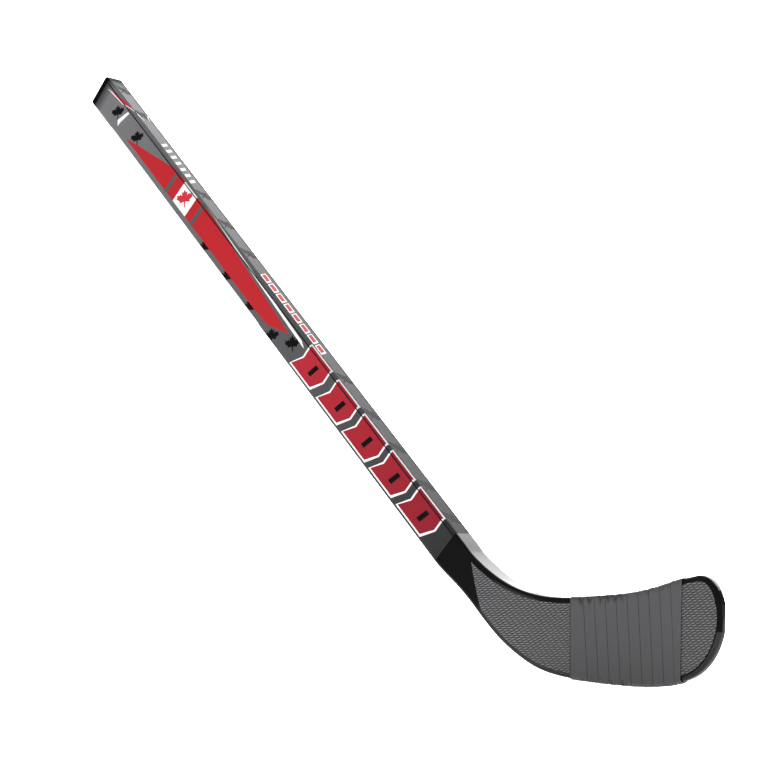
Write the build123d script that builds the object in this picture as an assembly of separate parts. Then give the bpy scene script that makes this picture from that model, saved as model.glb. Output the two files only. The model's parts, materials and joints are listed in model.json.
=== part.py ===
from build123d import *
import math
import os

# A short ice hockey stick, 533 mm from butt to heel, in its playing position.
# +Z is up, +X runs from heel to toe, and the forehand face looks towards -Y.
# The origin is on the shaft's axis, in the middle of the upper hand's grip.

# Shaft, millimetres
lie_angle = 45.0            # between the shaft and the ice
butt_to_grip = 45.0         # from the butt's end face to the origin
butt_to_seam = 445.6        # from the butt's end face to the joint with the blade
butt_to_ice = 546.2         # along the axis, from the butt's end face to the ice
shaft_width = 22.0
shaft_thickness = 14.0
shaft_corner = 1.8
film_thickness = 0.15
tube_wall = 1.6
tube_inner_corner = 0.8

# Butt cap
cap_head = 5.0
cap_edge_round = 1.4
plug_length = 22.0
plug_clearance = 0.15
plug_wall = 1.5
plug_floor = 1.5
plug_inner_corner = 0.3

# Tenon that joins the shaft and the blade
tenon_in_shaft = 40.0
tenon_in_neck = 26.0
tenon_neck_width = 13.0
tenon_neck_thickness = 9.0
tenon_corner = 0.6
adhesive_thickness = 0.25
glue_gap = 0.05

# Blade. Its X is measured from the heel point, where the shaft's axis meets the ice, and its Z from the ice
curve_start = -36.8         # X where the curve begins
curve_radius = 575.0
face_slant = 12.0           # degrees that the curve's lines lean towards the toe, which opens the face
shell_wall = 1.2
rib_thickness = 1.6
rib_height = 23.0
core_start = -30.0          # X where the neck's foam ends and the two blade cores begin
toe_tip = 118.3             # X where the toe's tip is trimmed flat before its edges are rounded
texture_thickness = 0.3
texture_margin = 3.0        # from the blade's outline to the edge of the textured sheet
tape_thickness = 0.45
tape_start, tape_end = 15.0, 92.0

# Half of the blade's thickness as (X, half), from the neck to past the toe
neck_start = -56.0          # X where the neck begins to thin
toe_limit = 140.0
half_thickness = [(-34, 5.7), (-24, 4.7), (-10, 3.8), (8, 3.3), (40, 3.0), (85, 2.8), (toe_limit, 2.6)]

# Blade outline as (X, Z), from the seam's lower corner round the toe to its upper corner
neck_bottom = [(-64.6, 51.6), (-53.0, 41.3), (-42.0, 30.0), (-32.0, 20.6), (-21.2, 12.9), (-10.3, 7.3)]
sole = [(6.2, 3.1), (28.5, 0.9), (57.0, 0.0), (84.0, 1.4)]
toe_start = (98.0, 5.0)
toe_start_angle = 20.0      # degrees that the sole has risen where the toe's first arc begins
toe_arcs = [(118.8, 30.0), (114.2, 49.6), (101.0, 55.0)]
top_edge = [(91.0, 53.4), (76.0, 49.9), (55.0, 46.3), (32.0, 44.7), (10.0, 44.0), (-11.0, 46.0)]
neck_top = [(-24.0, 49.8), (-34.0, 54.7), (-43.5, 60.8), (-54.0, 69.2)]

# Curved edge of the textured sheets at the neck, as (X, Z) from above the blade to below it
texture_edge = [(-53.0, 80.0), (-52.0, 66.0), (-49.5, 54.0), (-45.5, 40.0), (-39.0, 24.0), (-31.0, 8.0)]

# Values worked out from those above
slope_x = math.cos(math.radians(lie_angle))
slope_z = math.sin(math.radians(lie_angle))
along = Vector(slope_x, 0, -slope_z)
across = Vector(slope_z, 0, slope_x)
heel_point = along * (butt_to_ice - butt_to_grip)
bore_width = shaft_width - 2 * (film_thickness + tube_wall)
bore_thickness = shaft_thickness - 2 * (film_thickness + tube_wall)
reach = 200.0               # larger than the blade, for cutting it
outline_steps = 60          # points that carry an outline drawn in or out


def station(distance):
    """Plane across the shaft at a distance from the butt: local X is the width, Z runs to the blade."""
    return Plane(origin=along * (distance - butt_to_grip), x_dir=across, z_dir=along)


def bar(start, end, width, thickness, corner):
    """Solid length of a rounded rectangle on the shaft's axis."""
    section = RectangleRounded(width, thickness, corner)
    return extrude(station(start) * section, amount=end - start)


def bar_inset(start, end, inset, corner):
    """Solid length of the shaft's section, drawn in on every side."""
    return bar(start, end, shaft_width - 2 * inset, shaft_thickness - 2 * inset, corner)


def make_graphic_film():
    outer = bar_inset(cap_head, butt_to_seam, 0, shaft_corner)
    inner = bar_inset(cap_head, butt_to_seam, film_thickness, shaft_corner - film_thickness)
    return outer - inner


def make_shaft_tube():
    outer = bar_inset(cap_head, butt_to_seam, film_thickness, shaft_corner - film_thickness)
    return outer - bar(cap_head, butt_to_seam, bore_width, bore_thickness, tube_inner_corner)


def make_butt_cap():
    """A flush head and a hollow plug that slides in the tube's bore."""
    head = bar_inset(0, cap_head, 0, shaft_corner)
    end_face = head.faces().sort_by(Axis((0, 0, 0), along))[0]
    head = fillet(end_face.edges(), cap_edge_round)
    plug_end = cap_head + plug_length
    plug_width = bore_width - 2 * plug_clearance
    plug_thickness = bore_thickness - 2 * plug_clearance
    plug = bar(cap_head, plug_end, plug_width, plug_thickness, tube_inner_corner)
    hollow = bar(cap_head + plug_floor, plug_end, plug_width - 2 * plug_wall,
                 plug_thickness - 2 * plug_wall, plug_inner_corner)
    return head + (plug - hollow)


def make_tenon():
    """A block in the tube's bore and a slimmer tongue in the neck."""
    in_shaft = bar(butt_to_seam - tenon_in_shaft, butt_to_seam, bore_width - 2 * adhesive_thickness,
                   bore_thickness - 2 * adhesive_thickness, tenon_corner)
    tongue = bar(butt_to_seam, butt_to_seam + tenon_in_neck, tenon_neck_width,
                 tenon_neck_thickness, tenon_corner)
    return in_shaft + tongue


def make_adhesive(tenon):
    sleeve = bar(butt_to_seam - tenon_in_shaft, butt_to_seam, bore_width, bore_thickness,
                 tube_inner_corner)
    return sleeve - tenon


def on_shaft(distance, offset):
    """Blade X and Z of a point at a distance from the butt, offset across the shaft's width."""
    point = along * (distance - butt_to_grip) + across * offset - heel_point
    return (point.X, point.Z)


def outline(inset):
    """Face of the blade's outline, drawn in on every side, running up the shaft past the seam."""
    half = shaft_width / 2
    toe_angle = math.radians(toe_start_angle)
    top_seam = on_shaft(butt_to_seam + 6, half)
    edge = Spline(on_shaft(butt_to_seam, -half), *neck_bottom, *sole, toe_start,
                  tangents=[(slope_x, -slope_z), (math.cos(toe_angle), math.sin(toe_angle))])
    for arc_end in toe_arcs:
        edge += TangentArc(edge @ 1, arc_end, tangent=edge % 1)
    edge += Spline(edge @ 1, *top_edge, *neck_top, top_seam, tangents=[edge % 1, (-slope_x, slope_z)])
    if inset:
        places = [step / outline_steps for step in range(outline_steps + 1)]
        inward = [(edge @ place) + (edge % place).rotate(Axis.Z, 90) * inset for place in places]
        edge = Spline(*inward, tangents=[edge % 0, edge % 1])
    overlap = Vector(-slope_x, slope_z) * 30
    bottom_line = Line((edge @ 0) + overlap, edge @ 0)
    top_line = Line(edge @ 1, (edge @ 1) + overlap)
    return make_face(bottom_line + edge + top_line + Line(top_line @ 1, bottom_line @ 0))


def middle_y(x):
    """Y of the blade's middle surface."""
    past = max(0.0, x - curve_start)
    return math.sqrt(curve_radius ** 2 - past ** 2) - curve_radius


def surface_line(side, inset):
    """Plan line of the forehand face (side -1), the middle surface (0) or the backhand face (+1)."""
    neck = (neck_start, side * (shaft_thickness / 2 - inset))
    points = [(x, middle_y(x) + side * (half - inset)) for x, half in half_thickness]
    toe_direction = (1, middle_y(toe_limit) - middle_y(toe_limit - 1))
    blade_line = Spline(neck, *points, tangents=[(1, 0), toe_direction])
    return Line((neck_start - 60, neck[1]), neck) + blade_line


def layer(face, front_line, back_line):
    """Solid within an outline and between two plan lines, which lean with the face."""
    behind = heel_point + Vector(0, reach / 2, 0)
    slab = extrude(Plane(origin=behind, x_dir=(1, 0, 0), z_dir=(0, -1, 0)) * face, amount=reach)
    lean = Vector(math.tan(math.radians(face_slant)), 0, 1)
    plan = Plane(origin=heel_point - lean * (reach / 4), z_dir=(0, 0, 1))
    ends = Line(front_line @ 0, back_line @ 0) + Line(front_line @ 1, back_line @ 1)
    column = extrude(plan * make_face(front_line + back_line + ends), amount=reach, dir=lean)
    return slab & column


def blade_block(inset):
    """The blade's whole volume, drawn in on every side and cut off at the seam."""
    block = layer(outline(inset), surface_line(-1, inset), surface_line(1, inset))
    return block & extrude(station(butt_to_seam) * Rectangle(2 * reach, 2 * reach), amount=2 * reach)


def between_x(low, high):
    """Box across the blade from one X to another."""
    middle = heel_point + Vector((low + high) / 2, 0, 0)
    return Pos(*middle) * Box(high - low, reach, reach)


def between_z(low, high):
    """Box along the blade from one height above the ice to another."""
    middle = heel_point + Vector(0, 0, (low + high) / 2)
    return Pos(*middle) * Box(2 * reach, reach, high - low)


def round_rim(block):
    """Trim a blade block's toe tip and round all its edges except those of its cut at the seam."""
    block = block & between_x(-reach, toe_tip)
    seam = station(butt_to_seam)
    rim = [edge for edge in block.edges()
           if max(abs((edge @ at - seam.origin).dot(seam.z_dir)) for at in (0, 0.5, 1)) > 0.01]
    return fillet(rim, shaft_corner)


def make_shells():
    """Forehand and backhand halves of the hollow laminate, split on its middle surface."""
    shell = round_rim(blade_block(0)) - blade_block(shell_wall)
    everything = Rectangle(2 * reach, 2 * reach).face()
    middle = surface_line(0, 0)
    forehand_side = layer(everything, surface_line(-1, -shaft_width), middle)
    backhand_side = layer(everything, middle, surface_line(1, -shaft_width))
    return shell & forehand_side, shell & backhand_side


def make_cores():
    """Foam round the tenon's tongue, and a lengthwise rib between two foam cores."""
    filling = blade_block(shell_wall + glue_gap)
    tongue_hole = bar(butt_to_seam, butt_to_seam + tenon_in_neck + glue_gap,
                      tenon_neck_width + 2 * glue_gap, tenon_neck_thickness + 2 * glue_gap, tenon_corner)
    neck = filling & between_x(-reach, core_start - glue_gap)
    blade = filling & between_x(core_start, reach)
    rib_top = rib_height + rib_thickness
    return {
        "neck_core": neck - tongue_hole,
        "core_lower": blade & between_z(-reach, rib_height - glue_gap),
        "blade_rib": blade & between_z(rib_height, rib_top),
        "core_upper": blade & between_z(rib_top + glue_gap, reach),
    }


def make_texture(side):
    """Thin textured sheet on one face, inside a margin and cut to a curve at the neck."""
    edge = Spline(*texture_edge)
    far = Polyline(edge @ 1, (reach, -reach / 2), (reach, reach), edge @ 0)
    panel = outline(texture_margin) & make_face(edge + far)
    return layer(panel, surface_line(side, -texture_thickness), surface_line(side, 0))


def make_tape(under_it):
    """A band wound round the blade, filling the step between the sheets and the laminate."""
    proud = texture_thickness + tape_thickness
    band = layer(outline(-tape_thickness), surface_line(-1, -proud), surface_line(1, -proud))
    band = band & between_x(tape_start, tape_end)
    rim = [edge for edge in band.edges() if abs((edge @ 0).X - (edge @ 1).X) > 1]
    band = fillet(rim, shaft_corner)
    for piece in under_it:
        band = band - piece
    return band


tenon = make_tenon()
forehand_shell, backhand_shell = make_shells()
forehand_texture = make_texture(-1)
backhand_texture = make_texture(1)
pieces = {
    "graphic_film": make_graphic_film(),
    "shaft_tube": make_shaft_tube(),
    "butt_cap": make_butt_cap(),
    "blade_tenon": tenon,
    "tenon_adhesive": make_adhesive(tenon),
    "forehand_shell": forehand_shell,
    "backhand_shell": backhand_shell,
    "forehand_texture": forehand_texture,
    "backhand_texture": backhand_texture,
    "blade_tape": make_tape([round_rim(blade_block(0)), forehand_texture, backhand_texture]),
}
pieces.update(make_cores())

os.makedirs("parts", exist_ok=True)
for name, piece in pieces.items():
    export_step(piece, "parts/" + name + ".step")
    print(name, len(piece.solids()), "solid,", round(piece.volume), "mm3")
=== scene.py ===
import bpy
import bmesh
import json
import math
from mathutils import Matrix, Vector


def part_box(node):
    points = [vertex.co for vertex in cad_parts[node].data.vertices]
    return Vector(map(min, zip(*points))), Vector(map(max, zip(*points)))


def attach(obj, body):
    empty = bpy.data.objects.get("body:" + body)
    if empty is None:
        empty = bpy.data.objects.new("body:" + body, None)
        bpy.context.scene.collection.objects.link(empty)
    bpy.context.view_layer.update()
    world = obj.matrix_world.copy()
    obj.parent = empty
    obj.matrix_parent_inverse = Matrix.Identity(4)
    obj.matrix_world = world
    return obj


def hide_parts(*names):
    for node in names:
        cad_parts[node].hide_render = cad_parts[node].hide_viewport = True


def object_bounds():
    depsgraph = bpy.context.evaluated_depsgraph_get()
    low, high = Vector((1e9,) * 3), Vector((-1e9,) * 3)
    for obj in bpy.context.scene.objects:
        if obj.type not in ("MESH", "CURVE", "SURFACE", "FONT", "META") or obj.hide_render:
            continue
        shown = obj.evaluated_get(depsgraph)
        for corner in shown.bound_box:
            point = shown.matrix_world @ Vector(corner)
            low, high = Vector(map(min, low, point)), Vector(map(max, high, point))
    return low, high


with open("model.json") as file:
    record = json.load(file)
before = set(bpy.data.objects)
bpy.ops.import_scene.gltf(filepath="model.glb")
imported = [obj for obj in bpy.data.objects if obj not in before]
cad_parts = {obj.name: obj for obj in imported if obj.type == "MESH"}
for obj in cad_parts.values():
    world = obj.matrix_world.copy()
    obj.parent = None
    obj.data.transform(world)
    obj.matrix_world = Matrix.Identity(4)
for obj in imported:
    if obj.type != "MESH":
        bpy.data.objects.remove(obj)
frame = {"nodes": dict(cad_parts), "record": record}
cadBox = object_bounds()
mm = 0.001

# the shaft's own directions: down its length, and up across its width
mounts = {mount["name"]: mount for mount in frame["record"]["mounts"]}
along = -Vector(mounts["grip"]["axis"]).normalized()
across = Vector((-along.z, 0, along.x))
buttEnd = Vector(mounts["butt_face"]["pos_m"])
middle = (Vector(cadBox[0]) + Vector(cadBox[1])) / 2
iceHeight = cadBox[0][2]
print("frame loaded,", len(frame["nodes"]), "nodes")


def linearColour(code):
    channels = [int(code[i:i + 2], 16) / 255 for i in (1, 3, 5)]
    linear = [c / 12.92 if c <= 0.04045 else ((c + 0.055) / 1.055) ** 2.4 for c in channels]
    return (*linear, 1.0)


def addNode(tree, kind, settings=None, links=None):
    node = tree.nodes.new(kind)
    for name, value in (settings or {}).items():
        if isinstance(name, int) or not hasattr(node, name):
            node.inputs[name].default_value = value
        else:
            setattr(node, name, value)
    for name, source in (links or {}).items():
        tree.links.new(source, node.inputs[name])
    return node


def addMaterial(name, colour, roughness, settings=None):
    material = bpy.data.materials.new(name)
    material.use_nodes = True
    shader = material.node_tree.nodes["Principled BSDF"]
    shader.inputs["Base Color"].default_value = linearColour(colour)
    shader.inputs["Roughness"].default_value = roughness
    for socket, value in (settings or {}).items():
        shader.inputs[socket].default_value = value
    return material, material.node_tree, shader


def millimetres(tree):
    place = addNode(tree, "ShaderNodeTexCoord")
    return addNode(tree, "ShaderNodeMapping", {"Scale": (1000, 1000, 1000)},
                   {"Vector": place.outputs["Object"]}).outputs["Vector"]


def dotWith(tree, vector, direction):
    return addNode(tree, "ShaderNodeVectorMath", {"operation": "DOT_PRODUCT", 1: direction},
                   {0: vector}).outputs["Value"]


def arithmetic(tree, operation, first, second=0.0):
    node = addNode(tree, "ShaderNodeMath", {"operation": operation})
    for index, value in enumerate((first, second)):
        if isinstance(value, (int, float)):
            node.inputs[index].default_value = value
        else:
            tree.links.new(value, node.inputs[index])
    return node.outputs["Value"]


def addPiece(name, mesh, material, body="stick"):
    for polygon in mesh.polygons:
        polygon.use_smooth = True
    mesh.set_sharp_from_angle(angle=math.radians(32))
    piece = bpy.data.objects.new(name, mesh)
    mesh.materials.append(material)
    bpy.context.scene.collection.objects.link(piece)
    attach(piece, body)
    return piece


# camera: a long lens close to the ice, looking slightly up the shaft
view = {"azimuth": 43.24, "elevation": -6.27, "distance": 1.1387, "right": 0.0146, "up": -0.0295,
        "roll": 0.34, "lens": 91.6, "sensor": 36.0}


def addCamera():
    turn = math.radians(view["azimuth"])
    rise = math.radians(view["elevation"])
    back = Vector((math.sin(turn) * math.cos(rise), -math.cos(turn) * math.cos(rise), math.sin(rise)))
    right = Vector((math.cos(turn), math.sin(turn), 0))
    up = back.cross(right)
    aim = middle + right * view["right"] + up * view["up"]
    data = bpy.data.cameras.new("camera")
    data.lens, data.sensor_width = view["lens"], view["sensor"]
    camera = bpy.data.objects.new("camera", data)
    bpy.context.scene.collection.objects.link(camera)
    facing = Matrix((right, up, back)).transposed().to_4x4()
    roll = Matrix.Rotation(math.radians(view["roll"]), 4, "Z")
    camera.matrix_world = Matrix.Translation(aim + back * view["distance"]) @ facing @ roll
    bpy.context.scene.camera = camera


# studio: a white sweep under and behind the stick, and one large softbox above it
studio = {"sweepHalf": 4.0, "sweepBack": 2.6, "sweepTop": 3.0, "bend": 0.8, "glow": 1.1, "world": 0.32}
softboxes = [
    {"from": (-0.11, 0.724, 0.68), "distance": 2.2, "size": 2.4, "power": 125},
]


def addStudio():
    material, tree, shader = addMaterial("painted_sweep_lit_white", "#f4f4f4", 0.9)
    shader.inputs["Emission Color"].default_value = (1, 1, 1, 1)
    shader.inputs["Emission Strength"].default_value = studio["glow"]
    facing = Vector((-math.sin(math.radians(view["azimuth"])), math.cos(math.radians(view["azimuth"])), 0))
    side = Vector((facing.y, -facing.x, 0))
    ground = Vector((middle.x, middle.y, iceHeight))
    bend, farther = studio["bend"], studio["sweepBack"]
    profile = [(-studio["sweepHalf"], 0.0)]
    profile += [(farther - bend + bend * math.sin(a), bend - bend * math.cos(a))
                for a in (math.pi / 2 * step / 16 for step in range(17))]
    profile.append((farther, studio["sweepTop"]))
    bm = bmesh.new()
    rows = [[bm.verts.new(ground + facing * depth + side * edge + Vector((0, 0, height)))
             for edge in (-studio["sweepHalf"], studio["sweepHalf"])] for depth, height in profile]
    for near, far in zip(rows, rows[1:]):
        bm.faces.new((near[0], near[1], far[1], far[0]))
    mesh = bpy.data.meshes.new("sweep")
    bm.to_mesh(mesh)
    bm.free()
    for polygon in mesh.polygons:
        polygon.use_smooth = True
    mesh.materials.append(material)
    sweep = bpy.data.objects.new("sweep", mesh)
    bpy.context.scene.collection.objects.link(sweep)
    for number, box in enumerate(softboxes):
        data = bpy.data.lights.new("softbox_%d" % number, "AREA")
        data.shape, data.size, data.energy = "SQUARE", box["size"], box["power"]
        light = bpy.data.objects.new("softbox_%d" % number, data)
        bpy.context.scene.collection.objects.link(light)
        direction = Vector(box["from"]).normalized()
        light.location = middle + direction * box["distance"]
        light.rotation_euler = direction.to_track_quat("Z", "Y").to_euler()
    world = bpy.data.worlds.new("studio")
    bpy.context.scene.world = world
    world.use_nodes = True
    background = world.node_tree.nodes["Background"]
    background.inputs["Color"].default_value = (1, 1, 1, 1)
    background.inputs["Strength"].default_value = studio["world"]
    bpy.context.scene.view_settings.view_transform = "Standard"


addCamera()
addStudio()
print("camera and studio done")

# the shaft's section, millimetres, unrolled from the middle of the corner between its forehand and top sides
shaft = {"width": 22.0, "thickness": 14.0, "corner": 1.8, "start": 5.0}
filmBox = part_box("graphic_film")
lowerCorner = Vector((filmBox[1][0], 0, filmBox[0][2]))
shaft["end"] = (lowerCorner - buttEnd).dot(along) / mm - shaft["width"] / 2
cornerArc = math.pi / 2 * shaft["corner"]
flats = [shaft["thickness"] - 2 * shaft["corner"], shaft["width"] - 2 * shaft["corner"]] * 2
girth = 4 * cornerArc + sum(flats)
farCorner = cornerArc + flats[0]
print("section girth", round(girth, 2), "film ends at", round(shaft["end"], 1))


def wrap(distance, turn, inset):
    halfWidth = shaft["width"] / 2 - shaft["corner"]
    halfThickness = shaft["thickness"] / 2 - shaft["corner"]
    centres = [(halfWidth, -halfThickness), (halfWidth, halfThickness),
               (-halfWidth, halfThickness), (-halfWidth, -halfThickness)]
    radius = shaft["corner"] - inset
    left = (turn + cornerArc / 2) % girth
    for corner in range(4):
        quarter = corner * math.pi / 2
        onArc = min(left, cornerArc) / shaft["corner"]
        outward = (math.sin(quarter + onArc), -math.cos(quarter + onArc))
        straight = max(0.0, min(left - cornerArc, flats[corner]))
        if left <= cornerArc + flats[corner] or corner == 3:
            width = centres[corner][0] + outward[0] * radius - outward[1] * straight
            depth = centres[corner][1] + outward[1] * radius + outward[0] * straight
            return buttEnd + along * (distance * mm) + across * (width * mm) + Vector((0, depth * mm, 0))
        left -= cornerArc + flats[corner]


# printed film: a thin sleeve whose outside lies just under the prints on it
film = {"inset": 0.06, "thickness": 0.08, "arcSteps": 8, "hold": 0.12}


def sectionTurns():
    # each corner's arc, with one more line just inside the flats so that these shade flat
    turns = []
    at = -cornerArc / 2
    for flat in flats:
        turns.append(at - film["hold"])
        turns += [at + cornerArc * step / film["arcSteps"] for step in range(film["arcSteps"] + 1)]
        turns.append(at + cornerArc + film["hold"])
        at += cornerArc + flat
    return turns


def makeFilm(material):
    bm = bmesh.new()
    loops = []
    outside, inside = film["inset"], film["inset"] + film["thickness"]
    for distance, inset in ((shaft["start"], inside), (shaft["start"], outside),
                            (shaft["end"], outside), (shaft["end"], inside)):
        loops.append([bm.verts.new(wrap(distance, turn, inset)) for turn in sectionTurns()])
    count = len(loops[0])
    for index, loop in enumerate(loops):
        following = loops[(index + 1) % 4]
        for step in range(count):
            nextStep = (step + 1) % count
            bm.faces.new((loop[step], loop[nextStep], following[nextStep], following[step]))
    bmesh.ops.recalc_face_normals(bm, faces=bm.faces)
    mesh = bpy.data.meshes.new("film_sleeve")
    bm.to_mesh(mesh)
    bm.free()
    piece = addPiece("film_sleeve", mesh, material)
    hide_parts("graphic_film")
    return piece


def addPrint(bm, outline, top, bottom):
    flat = bmesh.new()
    flat.faces.new([flat.verts.new((distance, turn, 0)) for distance, turn in outline])
    flat.normal_update()
    bmesh.ops.triangulate(flat, faces=flat.faces)
    turns = [turn for distance, turn in outline]
    for turn in [turn - lap for turn in sectionTurns() for lap in (0, girth)]:
        if min(turns) < turn < max(turns):
            parts = flat.verts[:] + flat.edges[:] + flat.faces[:]
            bmesh.ops.bisect_plane(flat, geom=parts, dist=0.001, plane_co=(0, turn, 0), plane_no=(0, 1, 0))
    raised = bmesh.ops.extrude_face_region(flat, geom=flat.faces[:])
    for item in raised["geom"]:
        if isinstance(item, bmesh.types.BMVert):
            item.co.z = 1
    flat.verts.index_update()
    copies = [bm.verts.new(wrap(v.co.x, v.co.y, top if v.co.z > 0.5 else bottom)) for v in flat.verts]
    for face in flat.faces:
        bm.faces.new([copies[v.index] for v in face.verts])
    flat.free()


def makePrint(name, outlines, level, material):
    bm = bmesh.new()
    top = level * 0.012
    for outline in outlines:
        addPrint(bm, outline, top, film["inset"] + 0.02)
    bmesh.ops.recalc_face_normals(bm, faces=bm.faces)
    mesh = bpy.data.meshes.new(name)
    bm.to_mesh(mesh)
    bm.free()
    piece = addPiece(name, mesh, material)
    return piece


def mirrored(outline):
    return [(distance, farCorner - turn) for distance, turn in reversed(outline)]


# leaf: right half of its outline as (sideways, towards its tip), in shares of its size
leaf = {"half": [(0, 1.0), (0.17, 0.68), (0.36, 0.80), (0.28, 0.38), (0.52, 0.60), (0.60, 0.46), (0.96, 0.50),
                 (0.84, 0.30), (0.97, 0.16), (0.56, -0.14), (0.62, -0.32), (0.08, -0.24), (0.05, -0.85)],
        "tip": (-0.707, 0.707), "widen": 1.3}


def leafOutline(distance, turn, size):
    tip = leaf["tip"]
    half = [(aside * leaf["widen"], forward) for aside, forward in leaf["half"]]
    whole = half + [(-aside, forward) for aside, forward in reversed(half[1:])]
    return [(distance + size * (forward * tip[0] - aside * tip[1]),
             turn + size * (forward * tip[1] + aside * tip[0])) for aside, forward in whole]


# graphics, as (distance from the butt, turn) in millimetres
graphics = {
    "narrowLeaves": [15.6, 44.8, 134, 165, 195, 315, 347, 376, 407.5, 434],
    "wideLeaves": [(29.6, -9.6), (59, -9.7), (271.5, -9.9), (165.5, -18.8), (195.6, -18.8), (225.8, -18.8),
                   (254, -18.6)],
    "leafSize": 5.4,
    "panel": [(49, -16.6), (106, -0.4), (161, -0.5), (264.5, -7.4), (246, -15.7), (230, -16.6)],
    "gaps": [(109.5, 1.6), (145, 1.6)],
    "band": (119.5, 136.5),
    "wedge": [(148, 0.9), (276, -3.2), (281, -5.4), (262, -4.6), (196, -1.6)],
    "blocks": [(283.4, 311.8), (315.4, 343.7), (345.7, 375.9), (377.2, 405.8), (407.7, 437.4)],
    # the corner lines are painted shade: dark lines along both edges of the corner arc
    "paintedCornerShade": [(-2.1, -1.3), (1.2, 2.2)],
    "blockLow": -19.3, "blockHigh": 1.1, "blockSlant": 6.0, "blockPoint": 3.2,
    "hashes": (74, 121, 7), "bars": (214, 292, 8),
}


def slanted(start, end, low, high, slant):
    return [(start - slant, low), (end - slant, low), (end, high), (start, high)]


def chevron(start, end, grow):
    low, high = graphics["blockLow"] - grow, graphics["blockHigh"] + grow
    slant, point = graphics["blockSlant"], graphics["blockPoint"]
    centre = (low + high) / 2
    start, end = start - grow, end + grow - point
    return [(start - slant, low), (end - slant, low), (end - slant / 2 + point, centre), (end, high),
            (start, high), (start - slant / 2 + point, centre)]


def makeGraphics(materials):
    red, white, leaves, grey, fill, blackSlitsAndShade = [], [], [], [], [], []
    size = graphics["leafSize"]
    for distance in graphics["narrowLeaves"]:
        leaves.append(leafOutline(distance, 6.3, size))
    for distance, turn in graphics["wideLeaves"]:
        leaves += [leafOutline(distance, turn, size), mirrored(leafOutline(distance, turn, size))]
    panel = graphics["panel"]
    bandStart, bandEnd = graphics["band"]
    for flip in (False, True):
        side = mirrored if flip else (lambda outline: outline)
        red.append(side(panel))
        for distance, half in graphics["gaps"]:
            grey.append(side(slanted(distance - half, distance + half, -16.8, -0.2, 1.0)))
        white.append(side(slanted(bandStart, bandEnd, -16.6, -0.4, 1.0)))
        white.append(side(graphics["wedge"]))
        fill.append(side(leafOutline((bandStart + bandEnd) / 2 - 0.6, -8.8, 6.4)))
        for start, end in graphics["blocks"]:
            white.append(side(chevron(start, end, 0.0)))
            fill.append(side(chevron(start + 0.2, end - 0.2, -1.0)))
            centre = (start + end) / 2
            white.append(side(slanted(centre - 2.6, centre + 3.0, -14.6, -4.4, 3.0)))
            blackSlitsAndShade.append(side(slanted(centre - 1.5, centre + 1.9, -13.6, -5.4, 2.4)))
        white.append(side([(8, -4.5), (40, 2.2), (52, 4.2), (30, -2.6)]))
        fill.append(side([(11, -3.6), (38, 1.8), (46, 3.1), (29, -2.2)]))
        white.append(side([(33, -13.0), (38, -3.0), (40, -3.0), (36.5, -12.5), (36, -16.0)]))
        # painted highlight: a white stripe on each rounded lower corner, standing in for its reflection
        white.append(side([(30, -20.2), (34, -20.9), (236, -20.9), (240, -20.2)]))
        # painted shade: dark lines along both edges of each corner arc, over every print from the cap to the
        # seam
        for low, high in graphics["paintedCornerShade"]:
            blackSlitsAndShade.append(side(slanted(shaft["start"] + 0.05, shaft["end"] - 0.05, low, high, 0)))
    start, end, count = graphics["hashes"]
    step = (end - start) / count
    for number in range(count):
        at = start + number * step
        white.append(slanted(at + 2.2, at + step - 1.8, 3.0, 8.4, -2.2))
    start, end, count = graphics["bars"]
    step = (end - start) / count
    for number in range(count):
        at = start + number * step
        white.append(slanted(at, at + step - 1.4, 2.4, 8.0, -2.2))
        fill.append(slanted(at + 0.9, at + step - 2.3, 3.2, 7.2, -1.6))
    makePrint("print_panel", red, 3, materials["red"])
    makePrint("print_leaves", leaves, 4, materials["leaf"])
    makePrint("print_gaps", grey, 2, materials["grey"])
    # white ink prints, together with the painted highlight stripes on the lower corners
    makePrint("print_white_and_painted_highlight", white, 2, materials["white"])
    makePrint("print_red_marks", fill, 1, materials["mark"])
    # the black slits are print; the corner lines drawn with them are painted shade
    makePrint("print_slits_and_painted_shade", blackSlitsAndShade, 0, materials["leaf"])


# lacquered film: printed ink under a clear layer that gives sharp reflections over a flat colour
lacquer = {"Coat Weight": 0.14, "Coat Roughness": 0.08, "Specular IOR Level": 0.0}


def fadingInk(name, buttColour, seamColour, roughness):
    material, tree, shader = addMaterial(name, buttColour, roughness, lacquer)
    distance = dotWith(tree, millimetres(tree), along)
    share = addNode(tree, "ShaderNodeMapRange", {"From Min": -30.0, "From Max": 400.0},
                    {"Value": distance}).outputs["Result"]
    colour = addNode(tree, "ShaderNodeMix", {"data_type": "RGBA", 6: linearColour(buttColour),
                                             7: linearColour(seamColour)}, {0: share})
    # the print starts almost black beside the cap and clears within a few millimetres
    fade = {"From Min": -40.0, "From Max": -31.0, "To Min": 0.85, "To Max": 0.0}
    shade = addNode(tree, "ShaderNodeMapRange", fade, {"Value": distance}).outputs["Result"]
    shaded = addNode(tree, "ShaderNodeMix", {"data_type": "RGBA", 7: linearColour("#121213")},
                     {0: shade, 6: colour.outputs[2]})
    tree.links.new(shaded.outputs[2], shader.inputs["Base Color"])
    return material


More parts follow.
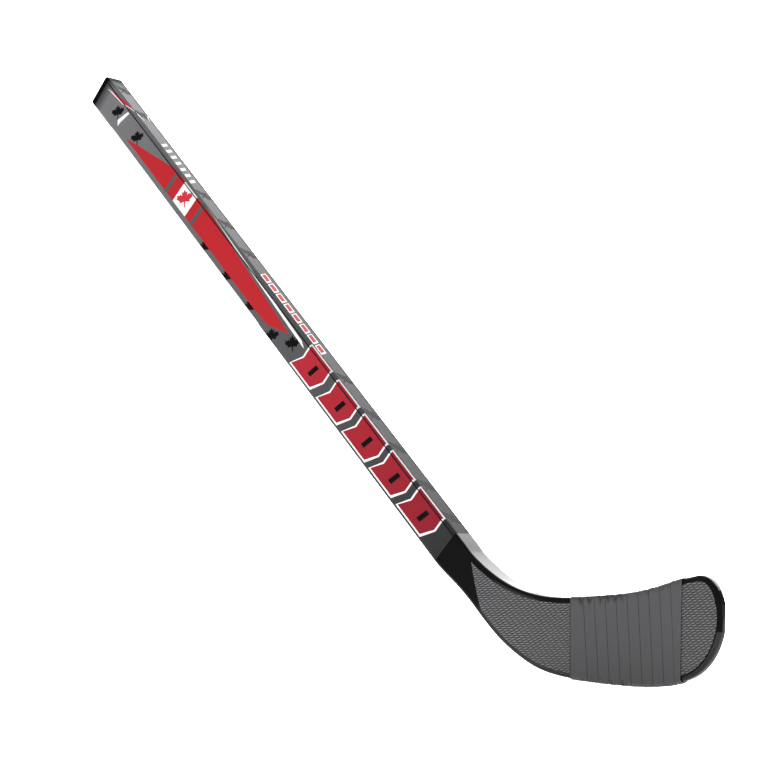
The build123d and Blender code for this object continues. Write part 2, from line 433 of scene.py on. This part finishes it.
# inks: flat colours that read as print, since only the clear layer over them is glossy
prints = {
    "base": fadingInk("pet_film_gravure_printed_grey", "#747476", "#323233", 0.35),
    "red": fadingInk("red_ink_screen_printed", "#b4292f", "#b0292f", 0.4),
    "mark": fadingInk("deep_red_ink_screen_printed", "#d83a43", "#84222e", 0.4),
    # white ink for the prints, also used for the painted highlight stripes on the lower corners
    "white": addMaterial("white_ink_printed_and_painted_highlight", "#f2f2f2", 0.4, lacquer)[0],
    # black ink for leaves and slits, also used for the painted shade lines along the corners
    "leaf": addMaterial("black_ink_printed_and_painted_shade", "#101011", 0.4, lacquer)[0],
    "grey": fadingInk("grey_ink_screen_printed", "#5c5c5e", "#3c3c3e", 0.35),
}
makeFilm(prints["base"])
makeGraphics(prints)
print("film and prints done")

# polished laminate: almost black, so that what shows is its sharp clear-coat reflections
blackLacquer = addMaterial("carbon_laminate_polished_black", "#08080a", 0.18,
                           {"Coat Weight": 0.45, "Coat Roughness": 0.06, "Specular IOR Level": 0.0})[0]
# moulded plastic: the same black with a blurred, weak shine
capPlastic = addMaterial("abs_plastic_injection_moulded_black", "#0b0b0c", 0.22,
                         {"Coat Weight": 0.08, "Coat Roughness": 0.2, "Specular IOR Level": 0.0})[0]

weave = {"chain": (-0.270, -0.258), "dash": (0.146, -0.706)}


def wovenMaterial():
    # embossed sheet: raised short strands on a dark ground catch the light one by one
    material, tree, shader = addMaterial("pu_sheet_embossed_weave", "#3a3a3b", 0.42,
                                         {"Coat Weight": 0.25, "Coat Roughness": 0.25})
    place = millimetres(tree)
    chain = dotWith(tree, place, (weave["chain"][0], 0, weave["chain"][1]))
    dash = dotWith(tree, place, (weave["dash"][0], 0, weave["dash"][1]))
    shift = arithmetic(tree, "MULTIPLY", arithmetic(tree, "FLOOR", chain), 0.5)
    dashWave = arithmetic(tree, "COSINE", arithmetic(tree, "MULTIPLY", arithmetic(tree, "ADD", dash, shift),
                                                     2 * math.pi))
    chainWave = arithmetic(tree, "SINE", arithmetic(tree, "MULTIPLY", chain, math.pi))
    strandShape = arithmetic(tree, "ABSOLUTE", chainWave)
    strand = arithmetic(tree, "MULTIPLY", arithmetic(tree, "POWER", strandShape, 0.6),
                        arithmetic(tree, "MAXIMUM", dashWave, 0.0))
    colour = addNode(tree, "ShaderNodeMix", {"data_type": "RGBA", 6: linearColour("#0f0f10"),
                                             7: linearColour("#7a7a7c")}, {0: strand})
    tree.links.new(colour.outputs[2], shader.inputs["Base Color"])
    bump = addNode(tree, "ShaderNodeBump", {"Strength": 0.8, "Distance": 0.0003}, {"Height": strand})
    tree.links.new(bump.outputs["Normal"], shader.inputs["Normal"])
    return material


# cloth tape: each turn lies over the one before it, so its first edge stands proud
tape = {"firstEdge": 7.9, "pitch": 7.61, "turns": 10, "slant": 4.6, "overlap": 1.3, "step": 0.16,
        "thickness": 0.14, "paintedShadow": 0.35, "samples": 88, "ringsAcross": 4}
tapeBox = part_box("blade_tape")


def tapeSection(source, top, bottom):
    # outer loop of the tape on a slanting plane, from its top round by the forehand face
    height = tapeBox[1][2] - tapeBox[0][2]
    cut = source.copy()
    slope = Vector((height, 0, bottom - top)).normalized()
    parts = cut.verts[:] + cut.edges[:] + cut.faces[:]
    foot = (bottom, 0, tapeBox[0][2])
    found = bmesh.ops.bisect_plane(cut, geom=parts, dist=1e-7, plane_co=foot, plane_no=slope)
    edges = [item for item in found["geom_cut"] if isinstance(item, bmesh.types.BMEdge)]
    joined = {}
    for edge in edges:
        for vert, other in (edge.verts, reversed(edge.verts)):
            joined.setdefault(vert, []).append(other)
    start = max(joined, key=lambda vert: vert.co.z)
    walk, before = [start], None
    here = min(joined[start], key=lambda vert: vert.co.y)
    while here is not start and here not in walk[-2:]:
        walk.append(here)
        here = next((vert for vert in joined[here] if vert is not walk[-2]), start)
    points = [vert.co.copy() for vert in walk]
    cut.free()
    lengths = [0.0]
    for one, other in zip(points, points[1:] + points[:1]):
        lengths.append(lengths[-1] + (other - one).length)
    ring, index = [], 0
    for sample in range(tape["samples"]):
        target = lengths[-1] * sample / tape["samples"]
        while lengths[index + 1] < target:
            index += 1
        part = (target - lengths[index]) / max(lengths[index + 1] - lengths[index], 1e-9)
        ring.append(points[index].lerp(points[(index + 1) % len(points)], part))
    return ring


def drawnIn(ring, depth):
    count = len(ring)
    moved = []
    for index, point in enumerate(ring):
        tangent = (ring[(index + 1) % count] - ring[index - 1]).normalized()
        inward = Vector((0, -tangent.z, tangent.y))
        moved.append(point + inward.normalized() * depth * mm)
    return moved


def makeTape(cloth, paintedShadow):
    source = bmesh.new()
    source.from_mesh(frame["nodes"]["blade_tape"].data)
    bmesh.ops.remove_doubles(source, verts=source.verts, dist=2e-6)
    left, right = tapeBox[0][0] + 0.02 * mm, tapeBox[1][0] - 0.02 * mm
    edges = [(left, left)]
    for number in range(tape["turns"] - 1):
        top = left + (tape["firstEdge"] + tape["pitch"] * number) * mm
        edges.append((top, top + tape["slant"] * mm))
    edges.append((right, right))
    bm = bmesh.new()
    for number, (start, end) in enumerate(zip(edges, edges[1:])):
        last = number == tape["turns"] - 1
        ends = [min(x + (0 if last else tape["overlap"] * mm), right) for x in end]
        places = [0.0, tape["paintedShadow"] / tape["pitch"]]
        places += [step / tape["ringsAcross"] for step in range(1, tape["ringsAcross"] + 1)]
        outer, inner = [], []
        for share in places:
            top = start[0] + (ends[0] - start[0]) * share
            bottom = start[1] + (ends[1] - start[1]) * share
            ring = tapeSection(source, top, bottom)
            depth = tape["step"] * share
            outer.append([bm.verts.new(point) for point in drawnIn(ring, depth)])
            inner.append([bm.verts.new(point) for point in drawnIn(ring, depth + tape["thickness"])])
        strips = outer + inner[::-1]
        count = tape["samples"]
        for index, loop in enumerate(strips):
            following = strips[(index + 1) % len(strips)]
            for step in range(count):
                nextStep = (step + 1) % count
                face = bm.faces.new((loop[step], loop[nextStep], following[nextStep], following[step]))
                # the first strip of each turn and its riser take the darker material: a painted shadow along
                # the step
                face.material_index = 1 if index in (0, len(strips) - 1) else 0
    bmesh.ops.recalc_face_normals(bm, faces=bm.faces)
    source.free()
    mesh = bpy.data.meshes.new("tape_turns")
    bm.to_mesh(mesh)
    bm.free()
    piece = addPiece("tape_turns", mesh, cloth)
    mesh.materials.append(paintedShadow)
    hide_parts("blade_tape")
    return piece


woven = wovenMaterial()
# cloth: matt all over, with a darker first edge painted as the shadow where each turn shades the one below
tapeCloth = addMaterial("cotton_tape_woven_waxed", "#48484a", 0.75)[0]
tapeStepShadow = addMaterial("cotton_tape_painted_step_shadow", "#262627", 0.85)[0]
makeTape(tapeCloth, tapeStepShadow)
print("tape done")
# inside the stick: plain matt foam, sawn block and yellowish glue, for cutaways only
bareCarbon = addMaterial("carbon_tube_pultruded_bare", "#151517", 0.4)[0]
foam = addMaterial("pu_foam_moulded", "#d9cfa8", 0.9)[0]
wood = addMaterial("composite_block_sawn", "#b08a5a", 0.6)[0]
glue = addMaterial("epoxy_glue_cured", "#c9b46a", 0.3)[0]
nodeMaterials = {
    "butt_cap": capPlastic, "forehand_shell": blackLacquer, "backhand_shell": blackLacquer,
    "forehand_texture": woven, "backhand_texture": woven, "blade_tape": tapeCloth,
    "shaft_tube": bareCarbon, "blade_rib": bareCarbon, "blade_tenon": wood, "tenon_adhesive": glue,
    "neck_core": foam, "core_lower": foam, "core_upper": foam,
}
for name, material in nodeMaterials.items():
    mesh = frame["nodes"][name].data
    mesh.materials.clear()
    mesh.materials.append(material)
print("node materials done")
